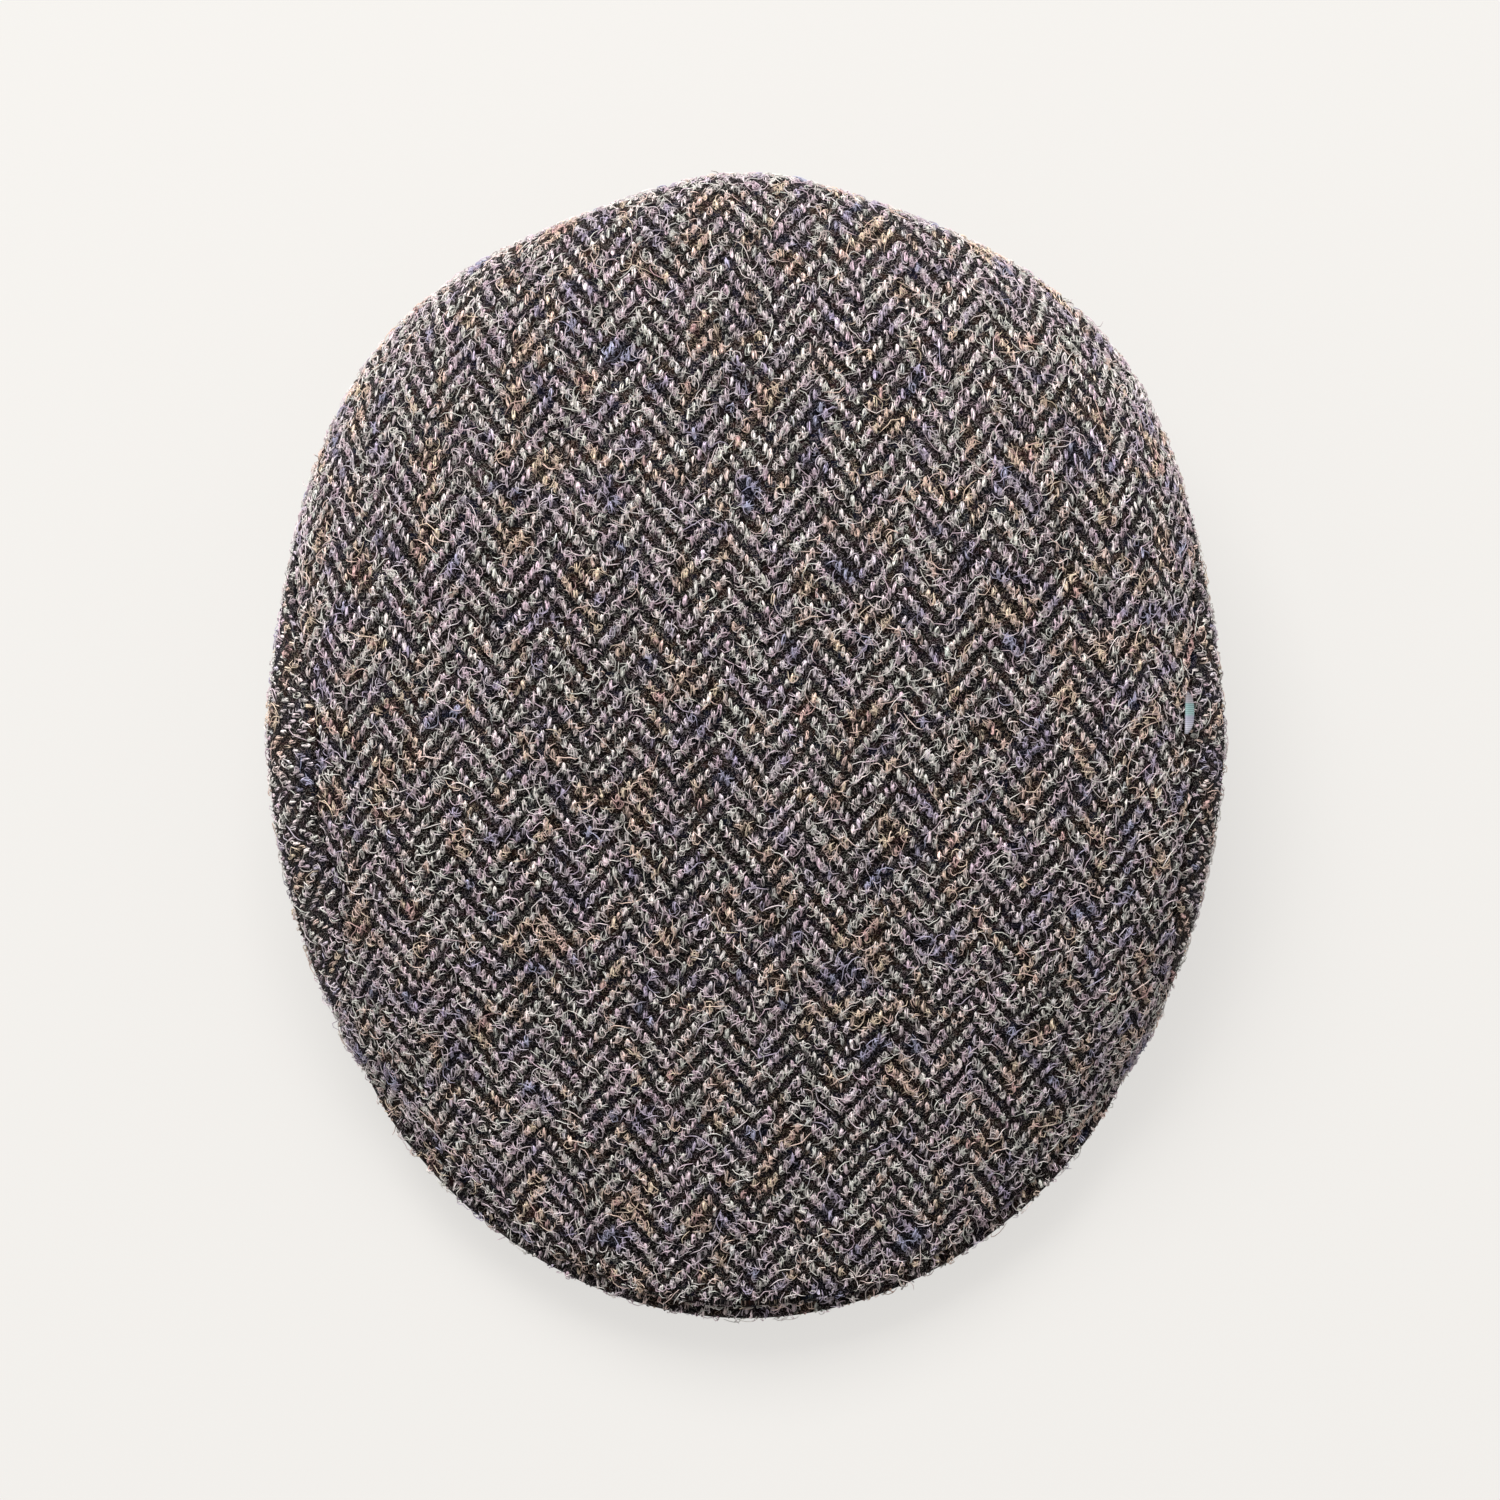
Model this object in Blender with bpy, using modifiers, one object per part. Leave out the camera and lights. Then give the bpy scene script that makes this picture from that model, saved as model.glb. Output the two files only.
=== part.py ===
"""Flat cap in herringbone tweed, resting on its rim.

A one-piece top panel is sewn to two side panels, which meet at the centre back, and at the front it
lies on a stiff cloth-covered peak. A small plain tab is caught in the wearer's left side seam.
Metres, +Z up. The peak points to -Y, and +X is the wearer's left. The origin is on the surface that
the rim rests on, under the middle of the cap's box.
"""

import math
from collections import namedtuple

import bmesh
import bpy
from mathutils import Matrix, Vector

# The whole cap.
CAP_LENGTH = 0.272
CROWN_WIDTH = 0.228
CROWN_HEIGHT = 0.088
WIDEST_FROM_BACK = 0.125
HIGHEST_FROM_BACK = 0.070
CLOTH = 0.0022
SEAM_GAP = 0.00035

# The opening that the head goes into, inside the cloth, and how far the crown stands behind it.
HEAD_LENGTH = 0.205
HEAD_WIDTH = 0.166
BACK_OVERHANG = 0.016

# The peak: its board with the cloth on it, how high the top of its root lies at the forehead and at
# the corners, how much of it shows past the top panel in front, how far it is tucked in at the
# corners, how far it sags between its edges, how far round from the front each corner lies, and how
# much its folded edge is rounded.
PEAK_THICKNESS = 0.004
PEAK_ROOT_HEIGHT = 0.028
PEAK_CORNER_HEIGHT = 0.0055
PEAK_SHOWN = 0.0025
PEAK_CORNER_TUCK = 0.002
PEAK_CORNER_FADE = 14.0
PEAK_CAMBER = 0.0012
PEAK_CORNER_ANGLE = 58.0
PEAK_CORNER_GAP = 0.0008
PEAK_EDGE_ROUND = 0.0014
PEAK_FOLD_ANGLE = 60.0

# The tab in the seam: along the seam, down the side, and thick.
TAB_WIDTH = 0.010
TAB_DROP = 0.004
TAB_THICKNESS = 0.0010
TAB_CLEAR = 0.0009
TAB_EDGE_ROUND = 0.00035
TAB_ANGLE = 91.0

# The plan is two half ellipses with a soft shoulder at each side of the back.
SHOULDER_SHARE = 0.0165
SHOULDER_ANGLE = 131.0
SHOULDER_WAVE = 60.0
SHOULDER_REACH = 49.0
SHOULDER_FADE = 8.0

# How fast the spine falls towards the peak.
SPINE_POWER = 1.6
SPINE_BACK_POWER = 3.0
SPINE_BACK_FALL = 0.05

# One row for each angle from the front, in degrees. The heights of the widest line and of the top
# seam on each side are shares of CROWN_HEIGHT. Fullness bends the dome's profile: 2 is round and 4
# nearly square. Lip is 1 where the top panel meets the peak at a slope, and 0.5 where it turns over.
Section = namedtuple("Section", "angle widest seam_left seam_right fullness lip")
SECTIONS = (
    Section(0, 0.200, 0.200, 0.200, 3.0, 1.00),
    Section(30, 0.198, 0.198, 0.198, 2.9, 0.95),
    Section(46, 0.200, 0.193, 0.193, 2.8, 0.75),
    Section(58, 0.235, 0.203, 0.203, 2.7, 0.55),
    Section(70, 0.330, 0.390, 0.420, 2.6, 0.50),
    Section(80, 0.430, 0.560, 0.600, 2.6, 0.50),
    Section(90, 0.500, 0.645, 0.685, 2.6, 0.50),
    Section(100, 0.550, 0.655, 0.665, 2.7, 0.50),
    Section(115, 0.610, 0.630, 0.630, 2.9, 0.50),
    Section(135, 0.660, 0.640, 0.640, 3.3, 0.50),
    Section(160, 0.705, 0.650, 0.650, 3.8, 0.50),
    Section(180, 0.720, 0.655, 0.655, 4.0, 0.50),
)

# How finely the sheets are divided. The top panel's rows crowd towards its edge, where it turns over.
TOP_ROWS = 14
TOP_CROWDING = 1.6
FRONT_COLUMNS = 12
SIDE_COLUMNS = 30
SIDE_ROWS = 9
PEAK_ROWS = 6
SKIN_STEPS = 80
ROUND_SEGMENTS = 2
EDGE_STRIP = 0.00015
REST_TRIM = 0.0015
MIDDLE_MERGE = 0.00005

# How far round the seam's run is measured to each side of a place, in degrees.
RUN_STEP = 1.0

LEFT = 1
RIGHT = -1

BACK_Y = CAP_LENGTH / 2
WIDEST_Y = BACK_Y - WIDEST_FROM_BACK
HIGHEST_Y = BACK_Y - HIGHEST_FROM_BACK
FRONT_REACH = CAP_LENGTH - WIDEST_FROM_BACK
RIM_HALF_LENGTH = HEAD_LENGTH / 2 + CLOTH
RIM_HALF_WIDTH = HEAD_WIDTH / 2 + CLOTH
RIM_MIDDLE_Y = BACK_Y - BACK_OVERHANG - RIM_HALF_LENGTH
FRONT_TOP = SECTIONS[0].widest * CROWN_HEIGHT


def slopes(rows, column):
    """Slopes for a smooth curve through a column that never overshoots its rows."""
    widths = [b.angle - a.angle for a, b in zip(rows, rows[1:])]
    rises = [(getattr(b, column) - getattr(a, column)) / w for a, b, w in zip(rows, rows[1:], widths)]
    found = [0.0]
    for before, after in zip(rises, rises[1:]):
        found.append(2 * before * after / (before + after) if before * after > 0 else 0.0)
    return found + [0.0]


SLOPES = {column: slopes(SECTIONS, column) for column in Section._fields[1:]}


def section_at(angle, column):
    """A column of the table, read smoothly between its rows."""
    angle = min(max(angle, SECTIONS[0].angle), SECTIONS[-1].angle)
    row = next(i for i in range(len(SECTIONS) - 1) if angle <= SECTIONS[i + 1].angle)
    a, b = SECTIONS[row], SECTIONS[row + 1]
    width = b.angle - a.angle
    t = (angle - a.angle) / width
    start, end = getattr(a, column), getattr(b, column)
    start_slope, end_slope = SLOPES[column][row] * width, SLOPES[column][row + 1] * width
    return (
        (2 * t**3 - 3 * t**2 + 1) * start
        + (t**3 - 2 * t**2 + t) * start_slope
        + (3 * t**2 - 2 * t**3) * end
        + (t**3 - t**2) * end_slope
    )


def ease(value, low, high):
    """0 below low, 1 above high, smooth between."""
    t = min(max((value - low) / (high - low), 0.0), 1.0)
    return t * t * (3 - 2 * t)


def outline(angle, side, inset=0.0):
    """The cap's outline in plan, at an angle round from the front."""
    turn = math.radians(angle - 90)
    away = abs(angle - SHOULDER_ANGLE)
    swell = SHOULDER_SHARE * math.cos(math.radians(away * 360 / SHOULDER_WAVE))
    swell *= 1 - ease(away, SHOULDER_REACH - SHOULDER_FADE, SHOULDER_REACH)
    reach = WIDEST_FROM_BACK if turn > 0 else FRONT_REACH
    x = CROWN_WIDTH / 2 * math.cos(turn) * (1 + swell)
    y = reach * math.sin(turn) * (1 + swell)
    shrink = 1 - inset / math.hypot(x, y)
    return Vector((side * x * shrink, WIDEST_Y + y * shrink, 0))


def rim(angle, side):
    """The outside of the head opening's edge, in plan."""
    turn = math.radians(angle - 90)
    return Vector(
        (side * RIM_HALF_WIDTH * math.cos(turn), RIM_MIDDLE_Y + RIM_HALF_LENGTH * math.sin(turn), 0)
    )


def spine(y):
    """The height that the crown would have without its rounded edges."""
    if y > HIGHEST_Y:
        behind = (y - HIGHEST_Y) / HIGHEST_FROM_BACK
        return CROWN_HEIGHT * (1 - SPINE_BACK_FALL * behind**SPINE_BACK_POWER)
    ahead = (HIGHEST_Y - y) / (HIGHEST_Y + CAP_LENGTH / 2)
    return CROWN_HEIGHT - (CROWN_HEIGHT - FRONT_TOP) * ahead**SPINE_POWER


def shown(angle):
    """How much of the peak shows past the top panel: none where the side panels begin."""
    return PEAK_SHOWN * (1 - ease(angle, PEAK_CORNER_ANGLE - PEAK_CORNER_FADE, PEAK_CORNER_ANGLE))


def skin(angle, side):
    """The crown's outer face from its middle, over the widest line and down to the rim."""
    widest = section_at(angle, "widest") * CROWN_HEIGHT
    fullness = section_at(angle, "fullness")
    lip = section_at(angle, "lip")
    middle = Vector((0, WIDEST_Y, 0))
    edge = outline(angle, side, shown(angle))
    points = []
    for step in range(SKIN_STEPS + 1):
        bend = math.pi / 2 * (step / SKIN_STEPS) ** (fullness / 2)
        share = math.sin(bend) ** (2 / fullness)
        plan = middle.lerp(edge, share)
        round_off = 1 - max(math.cos(bend), 0.0) ** (2 * lip)
        height = spine(plan.y) - (spine(edge.y) - widest) * round_off
        points.append(Vector((plan.x, plan.y, height)))
    foot = rim(angle, side)
    for step in range(1, SKIN_STEPS + 1):
        t = step / SKIN_STEPS
        plan = edge.lerp(foot, math.sin(math.pi / 2 * t) ** 2)
        points.append(Vector((plan.x, plan.y, widest * (1 - t))))
    points.append(Vector((foot.x, foot.y, -REST_TRIM)))
    return points


def lengths(points):
    """How far along the line each point is."""
    total = [0.0]
    for a, b in zip(points, points[1:]):
        total.append(total[-1] + (b - a).length)
    return total


def seam_at(points, along, height):
    """How far along the skin the top seam runs, at its height on the outer slope."""
    for i in range(len(points) - 1, 0, -1):
        above, below = points[i - 1].z, points[i].z
        if above >= height > below:
            return along[i - 1] + (along[i] - along[i - 1]) * (above - height) / (above - below)
    raise ValueError("the seam is higher than the crown")


def seam_place(angle, side):
    """The skin, how far along it the seam's middle is, half the gap there, and the seam's run."""
    points = skin(angle, side)
    along = lengths(points)
    place = seam_at(points, along, seam_height(angle, side))
    ends = []
    for near in (max(angle - RUN_STEP, 0), min(angle + RUN_STEP, 180)):
        line = skin(near, side)
        measured = lengths(line)
        ends.append(at_length(line, measured, seam_at(line, measured, seam_height(near, side))))
    run = (ends[1] - ends[0]).normalized()
    square = down_at(points, along, place).cross(run).length
    return points, along, place, SEAM_GAP / 2 / square, run


def down_at(points, along, place):
    """The way down the skin, just above a place on it."""
    return (at_length(points, along, place) - at_length(points, along, place - EDGE_STRIP)).normalized()


def at_length(points, along, where):
    """The point that lies so far along the line."""
    for i in range(1, len(points)):
        if where <= along[i] or i == len(points) - 1:
            share = (where - along[i - 1]) / (along[i] - along[i - 1])
            return points[i - 1].lerp(points[i], share)


def seam_height(angle, side):
    """The height of the top panel's edge."""
    return section_at(angle, "seam_left" if side == LEFT else "seam_right") * CROWN_HEIGHT


def front_angles():
    """Where the sheets have a column over the peak, from the middle to just before its corner."""
    return [PEAK_CORNER_ANGLE * i / FRONT_COLUMNS for i in range(FRONT_COLUMNS)]


def side_angles():
    """Where they have one from the peak's corner to the centre back."""
    side_turn = 180 - PEAK_CORNER_ANGLE
    return [PEAK_CORNER_ANGLE + side_turn * i / SIDE_COLUMNS for i in range(SIDE_COLUMNS + 1)]


def cloth_material(name, colour):
    material = bpy.data.materials.new(name)
    material.use_nodes = True
    shader = material.node_tree.nodes["Principled BSDF"]
    shader.inputs["Base Color"].default_value = (*colour, 1.0)
    shader.inputs["Roughness"].default_value = 0.95
    shader.inputs["Metallic"].default_value = 0.0
    return material


def sheet(name, columns, material, closed=False, pole=None):
    """A sheet lofted through columns of points, which all run the same way and face out."""
    body = bmesh.new()
    middle = body.verts.new(pole) if pole else None
    rows = [[body.verts.new(point) for point in column] for column in columns]
    pairs = list(zip(rows, rows[1:] + rows[:1] if closed else rows[1:]))
    for here, there in pairs:
        if middle:
            body.faces.new((middle, here[0], there[0]))
        for i in range(len(here) - 1):
            body.faces.new((here[i], here[i + 1], there[i + 1], there[i]))
    mesh = bpy.data.meshes.new(name)
    body.to_mesh(mesh)
    body.free()
    mesh.shade_smooth()
    piece = bpy.data.objects.new(name, mesh)
    piece.data.materials.append(material)
    parts.objects.link(piece)
    return piece


def give_thickness(piece, thickness, offset):
    solid = piece.modifiers.new("cloth", "SOLIDIFY")
    solid.thickness = thickness
    solid.offset = offset
    return solid


def top_panel(material):
    """One piece of cloth from the back seam to the peak."""
    angles = front_angles() + side_angles()
    columns = []
    for angle, side in [(a, LEFT) for a in angles] + [(a, RIGHT) for a in angles[-2:0:-1]]:
        points, along, seam, half_gap, _ = seam_place(angle, side)
        end = seam - half_gap
        inner = end - EDGE_STRIP
        places = [inner * (1 - (1 - i / TOP_ROWS) ** TOP_CROWDING) for i in range(1, TOP_ROWS + 1)]
        columns.append([at_length(points, along, place) for place in places + [end]])
    pole = skin(0, LEFT)[0]
    piece = sheet("top_panel", columns, material, closed=True, pole=pole)
    give_thickness(piece, CLOTH, -1)
    return piece


def side_panel(name, side, material):
    """From the corner of the peak to the centre back, and from the top seam down to the rim."""
    back_gap = math.degrees(SEAM_GAP / CROWN_WIDTH)
    corner_gap = math.degrees(PEAK_CORNER_GAP / CROWN_WIDTH)
    strip = math.degrees(2 * EDGE_STRIP / CROWN_WIDTH)
    angles = side_angles()
    angles[0] += corner_gap
    angles[-1:] = [180 - back_gap - strip, 180 - back_gap]
    columns = []
    for angle in angles:
        points, along, seam, half_gap, _ = seam_place(angle, side)
        start, foot = seam + half_gap, along[-2]
        inner = start + EDGE_STRIP
        places = [inner + (foot - inner) * i / SIDE_ROWS for i in range(SIDE_ROWS + 1)]
        widest = along[SKIN_STEPS]
        if widest > inner:
            nearest = min(range(1, SIDE_ROWS), key=lambda i: abs(places[i] - widest))
            places[nearest] = widest
        columns.append([at_length(points, along, place) for place in [start, *places, along[-1]]])
    if side == RIGHT:
        columns.reverse()
    piece = sheet(name, columns, material)
    give_thickness(piece, CLOTH, -1)
    rest = piece.modifiers.new("rest", "BOOLEAN")
    rest.object = rest_cutter
    return piece


def peak_edge(angle):
    """The peak's edge in plan: it draws in under the crown at the corners."""
    corner = ease(angle, PEAK_CORNER_ANGLE - PEAK_CORNER_FADE, PEAK_CORNER_ANGLE)
    return outline(angle, LEFT, PEAK_CORNER_TUCK * corner)


def peak_sag(share):
    """How far the peak's top sags at a share of its depth."""
    return PEAK_CAMBER * math.sin(math.pi * share)


def peak_heights(angle):
    """The top of the peak at its edge and its root, just clear of the top panel's cut edge."""
    outer, root = peak_edge(angle), rim(angle, LEFT)
    lift = math.cos(math.pi / 2 * angle / PEAK_CORNER_ANGLE) ** 2
    root_height = PEAK_CORNER_HEIGHT + (PEAK_ROOT_HEIGHT - PEAK_CORNER_HEIGHT) * lift
    points, along, seam, half_gap, run = seam_place(angle, LEFT)
    end = seam - half_gap
    out = down_at(points, along, end).cross(run).normalized()
    face = at_length(points, along, end)
    rooms = []
    for corner in (face, face - out * CLOTH):
        share = max((corner - outer).dot(root - outer) / (root - outer).length_squared, 0.0)
        room = corner.z - SEAM_GAP + peak_sag(share)
        rooms.append((room - root_height * share) / (1 - share))
    return min(rooms), root_height


def peak(material):
    """A curved board covered in the same cloth: half of it, mirrored."""
    last = PEAK_CORNER_ANGLE - math.degrees(PEAK_CORNER_GAP / CROWN_WIDTH)
    columns = []
    for angle in front_angles() + [last]:
        outer, root = peak_edge(angle), rim(angle, LEFT)
        edge_height, root_height = peak_heights(angle)
        column = []
        for j in range(PEAK_ROWS + 1):
            share = j / PEAK_ROWS
            point = outer.lerp(root, share)
            point.z = edge_height + (root_height - edge_height) * share - peak_sag(share)
            column.append(point)
        if angle == 0:
            for point in column:
                point.x = 0.0
        columns.append(column)
    columns.reverse()
    piece = sheet("peak", columns, material)
    mirror = piece.modifiers.new("other half", "MIRROR")
    mirror.merge_threshold = MIDDLE_MERGE
    give_thickness(piece, PEAK_THICKNESS, -1)
    edge = piece.modifiers.new("folded edge", "BEVEL")
    edge.width = PEAK_EDGE_ROUND
    edge.segments = ROUND_SEGMENTS
    edge.angle_limit = math.radians(PEAK_FOLD_ANGLE)
    return piece


def seam_tab(material):
    """A folded tape tab that hangs out of the left seam and lies on the side panel."""
    points, along, seam, _, _ = seam_place(TAB_ANGLE, LEFT)
    top = at_length(points, along, seam)
    foot = at_length(points, along, seam + TAB_DROP)
    down = (foot - top).normalized()
    forward = Vector((0, -1, 0))
    forward = (forward - down * forward.dot(down)).normalized()
    out = forward.cross(down)
    if out.x < 0:
        out.negate()
    place = top.lerp(foot, 0.5) + out * (TAB_CLEAR + TAB_THICKNESS / 2)
    frame = Matrix((down, forward, down.cross(forward))).transposed().to_4x4()
    bpy.ops.mesh.primitive_cube_add(size=1)
    piece = bpy.context.object
    piece.name = "seam_tab"
    piece.data.transform(Matrix.Diagonal((TAB_DROP, TAB_WIDTH, TAB_THICKNESS, 1)))
    piece.matrix_world = Matrix.Translation(place) @ frame
    piece.data.materials.append(material)
    fold = piece.modifiers.new("fold", "BEVEL")
    fold.width = TAB_EDGE_ROUND
    fold.segments = ROUND_SEGMENTS
    bpy.context.collection.objects.unlink(piece)
    parts.objects.link(piece)
    return piece


def rest_block():
    """Cuts the rim level where the cap rests."""
    bpy.ops.mesh.primitive_cube_add(size=1)
    block = bpy.context.object
    block.name = "rest_block"
    block.data.transform(Matrix.Diagonal((CROWN_WIDTH * 2, CAP_LENGTH * 2, CROWN_HEIGHT, 1)))
    block.location.z = -CROWN_HEIGHT / 2
    block.hide_render = True
    block.display_type = "WIRE"
    bpy.context.collection.objects.unlink(block)
    cutters.objects.link(block)
    return block


for old in list(bpy.data.objects):
    bpy.data.objects.remove(old, do_unlink=True)
parts = bpy.data.collections.new("flat_cap")
cutters = bpy.data.collections.new("cutters")
bpy.context.scene.collection.children.link(parts)
bpy.context.scene.collection.children.link(cutters)

tweed = cloth_material("herringbone_tweed", (0.16, 0.14, 0.135))
tape = cloth_material("woven_tape", (0.42, 0.49, 0.52))

rest_cutter = rest_block()
top_panel(tweed)
side_panel("side_panel_left", LEFT, tweed)
side_panel("side_panel_right", RIGHT, tweed)
peak(tweed)
seam_tab(tape)
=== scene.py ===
import math
from collections import namedtuple

import bpy
import numpy as np
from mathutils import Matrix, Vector
from mathutils.bvhtree import BVHTree


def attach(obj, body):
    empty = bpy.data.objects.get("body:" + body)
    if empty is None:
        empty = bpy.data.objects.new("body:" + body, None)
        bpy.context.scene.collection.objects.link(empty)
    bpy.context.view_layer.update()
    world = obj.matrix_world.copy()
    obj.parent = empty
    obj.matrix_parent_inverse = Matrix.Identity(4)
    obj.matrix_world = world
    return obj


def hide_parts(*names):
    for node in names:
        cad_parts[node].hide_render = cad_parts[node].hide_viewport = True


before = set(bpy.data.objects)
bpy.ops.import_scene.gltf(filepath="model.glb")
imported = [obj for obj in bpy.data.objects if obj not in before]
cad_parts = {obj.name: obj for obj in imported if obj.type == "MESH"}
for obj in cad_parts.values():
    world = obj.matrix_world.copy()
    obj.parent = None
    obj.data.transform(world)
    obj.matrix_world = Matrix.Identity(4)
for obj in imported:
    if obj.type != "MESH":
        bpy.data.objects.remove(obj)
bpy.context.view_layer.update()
scene = bpy.context.scene

# The top panel's cloth
# One piece of heavy wool tweed, cut to a pattern, shrunk over a block and sewn to the side panels
# with its edge turned in. It runs from the centre back over the crown and lies on the peak in front.
MILLIMETRE = 0.001

# The wearer's left and right, as the sign of x.
LEFT = 1
RIGHT = -1

# The cap's sizes in metres, with the thickness of its cloth and the gap between two panels at a seam.
# In plan the crown is two half ellipses that meet at its widest place, and the rim is an ellipse.
CAP_LENGTH = 0.272
CROWN_WIDTH = 0.228
CROWN_HEIGHT = 0.088
WIDEST_FROM_BACK = 0.125
HIGHEST_FROM_BACK = 0.070
CLOTH = 0.0022
SEAM_GAP = 0.00035
HEAD_LENGTH = 0.205
HEAD_WIDTH = 0.166
BACK_OVERHANG = 0.016
PEAK_SHOWN = 0.0025

# Angles are in degrees round from the front. The peak's corners are where the side panels start, and
# the crown stands out in a soft shoulder on each side of the back.
PEAK_CORNER_ANGLE = 58.0
PEAK_CORNER_FADE = 14.0
SHOULDER_SHARE = 0.0165
SHOULDER_ANGLE = 131.0
SHOULDER_WAVE = 60.0
SHOULDER_REACH = 49.0
SHOULDER_FADE = 8.0

# How the crown falls from its highest place to the front, and a little to the back.
SPINE_POWER = 1.6
SPINE_BACK_POWER = 3.0
SPINE_BACK_FALL = 0.05

# One row for each angle round from the front, in degrees. The heights of the widest line and of the
# top seam are shares of CROWN_HEIGHT. Fullness bends the dome's profile: 2 is round, 4 nearly square.
# Lip is 1 where the panel meets the peak at a slope, and 0.5 where it turns over.
SECTIONS = np.array((
    # angle widest seam_left seam_right fullness lip
    (0, 0.200, 0.200, 0.200, 3.0, 1.00),
    (30, 0.198, 0.198, 0.198, 2.9, 0.95),
    (46, 0.200, 0.193, 0.193, 2.8, 0.75),
    (58, 0.235, 0.203, 0.203, 2.7, 0.55),
    (62, 0.259, 0.305, 0.410, 2.66, 0.525),
    (70, 0.330, 0.472, 0.536, 2.6, 0.50),
    (80, 0.430, 0.585, 0.622, 2.6, 0.50),
    (90, 0.500, 0.680, 0.695, 2.6, 0.50),
    (100, 0.550, 0.675, 0.675, 2.7, 0.50),
    (115, 0.610, 0.630, 0.630, 2.9, 0.50),
    (135, 0.660, 0.640, 0.640, 3.3, 0.50),
    (160, 0.705, 0.650, 0.650, 3.8, 0.50),
    (180, 0.720, 0.655, 0.655, 4.0, 0.50),
))
WIDEST, SEAM_LEFT, SEAM_RIGHT, FULLNESS, LIP = range(1, 6)
BACK_Y = CAP_LENGTH / 2
WIDEST_Y = BACK_Y - WIDEST_FROM_BACK
HIGHEST_Y = BACK_Y - HIGHEST_FROM_BACK
FRONT_REACH = CAP_LENGTH - WIDEST_FROM_BACK
RIM_HALF_LENGTH = HEAD_LENGTH / 2 + CLOTH
RIM_HALF_WIDTH = HEAD_WIDTH / 2 + CLOTH
RIM_MIDDLE_Y = BACK_Y - BACK_OVERHANG - RIM_HALF_LENGTH
FRONT_TOP = SECTIONS[0, WIDEST] * CROWN_HEIGHT
SKIN_STEPS = 90

# The sheet's own grid, and how its edge is turned in: over how much cloth and how deep, in
# millimetres. The rows past the edge, below 0, are the seam allowance. It slopes in behind the side
# panels, and drops on to the peak in front, as far as a margin in degrees past its corners.
FRONT_COLUMNS = 30
BACK_COLUMNS = 66
TOP_ROWS = 40
TOP_CROWDING = 1.5
EDGE_ROWS = (-2.4, -1.2, 0.0, 0.25, 0.55, 0.95, 1.5, 2.3)
TURN_REACH = 1.7
TURN_DEPTH = 1.0
ALLOWANCE_SLOPE = 0.85
ALLOWANCE_DROP = 1.4
OVER_PEAK_MARGIN = 0.5

# The stripes draw closer where the cloth is shrunk round the sides, and wander by some millimetres on
# their way from the front to the back.
EASED_IN = 0.10
EASED_POWER = 8
WANDER = 2.0
WANDER_REACH = 0.080

# The cloth isn't quite smooth: how deep its soft hollows and rises are, how long, and over which
# distance from an edge they begin, in millimetres.
UNEVEN = 0.35
UNEVEN_LENGTH = 31.0
UNEVEN_FROM_EDGE = (2.0, 16.0)

# How finely a length over the crown is measured, and how near its two ends its width is still
# looked for. A bake's image is shared by the two faces of the cloth, from corner to corner.
PATH_STEPS = 40
NEAR_END = 0.999
OUTER_BAKE = ((0.01, 0.01), (0.79, 0.99))
INNER_BAKE = ((0.82, 0.01), (0.99, 0.99))


def section_at(angle, column):
    """A column of the table, read smoothly between its rows, with no overshoot."""
    angles, values = SECTIONS[:, 0], SECTIONS[:, column]
    widths, rises = np.diff(angles), np.diff(values) / np.diff(angles)
    both = rises[:-1] * rises[1:]
    inner = np.where(both > 0, 2 * both / np.where(both > 0, rises[:-1] + rises[1:], 1), 0)
    slopes = np.r_[0, inner, 0]
    row = np.clip(np.searchsorted(angles, angle, side="right") - 1, 0, len(angles) - 2)
    t = (angle - angles[row]) / widths[row]
    start, end = slopes[row] * widths[row], slopes[row + 1] * widths[row]
    return (
        (2 * t**3 - 3 * t**2 + 1) * values[row]
        + (t**3 - 2 * t**2 + t) * start
        + (3 * t**2 - 2 * t**3) * values[row + 1]
        + (t**3 - t**2) * end
    )


def ease(value, low, high):
    """0 below low, 1 above high, smooth between."""
    t = np.clip((value - low) / (high - low), 0, 1)
    return t * t * (3 - 2 * t)


def swell(angle):
    """The soft shoulders at each side of the back."""
    away = np.abs(angle - SHOULDER_ANGLE)
    wave = SHOULDER_SHARE * np.cos(np.radians(away * 360 / SHOULDER_WAVE))
    return 1 + wave * (1 - ease(away, SHOULDER_REACH - SHOULDER_FADE, SHOULDER_REACH))


def outline(angle, side, inset=0.0):
    """The cap's outline in plan, at angles round from the front."""
    turn = np.radians(angle - 90)
    x = CROWN_WIDTH / 2 * np.cos(turn) * swell(angle)
    y = np.where(turn > 0, WIDEST_FROM_BACK, FRONT_REACH) * np.sin(turn) * swell(angle)
    shrink = 1 - inset / np.hypot(x, y)
    return np.stack([side * x * shrink, WIDEST_Y + y * shrink], -1)


def rim(angle, side):
    """The outside of the head opening's edge, in plan."""
    turn = np.radians(angle - 90)
    x, y = RIM_HALF_WIDTH * np.cos(turn), RIM_HALF_LENGTH * np.sin(turn)
    return np.stack([side * x, RIM_MIDDLE_Y + y], -1)


def spine(y):
    """The height that the crown would have without its rounded edges."""
    behind = np.clip((y - HIGHEST_Y) / HIGHEST_FROM_BACK, 0, None)
    ahead = np.clip((HIGHEST_Y - y) / (HIGHEST_Y + BACK_Y), 0, None)
    back = CROWN_HEIGHT * (1 - SPINE_BACK_FALL * behind**SPINE_BACK_POWER)
    return np.where(y > HIGHEST_Y, back, CROWN_HEIGHT - (CROWN_HEIGHT - FRONT_TOP) * ahead**SPINE_POWER)


def shown(angle):
    """How much of the peak shows past the top panel."""
    return PEAK_SHOWN * (1 - ease(angle, PEAK_CORNER_ANGLE - PEAK_CORNER_FADE, PEAK_CORNER_ANGLE))


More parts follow.
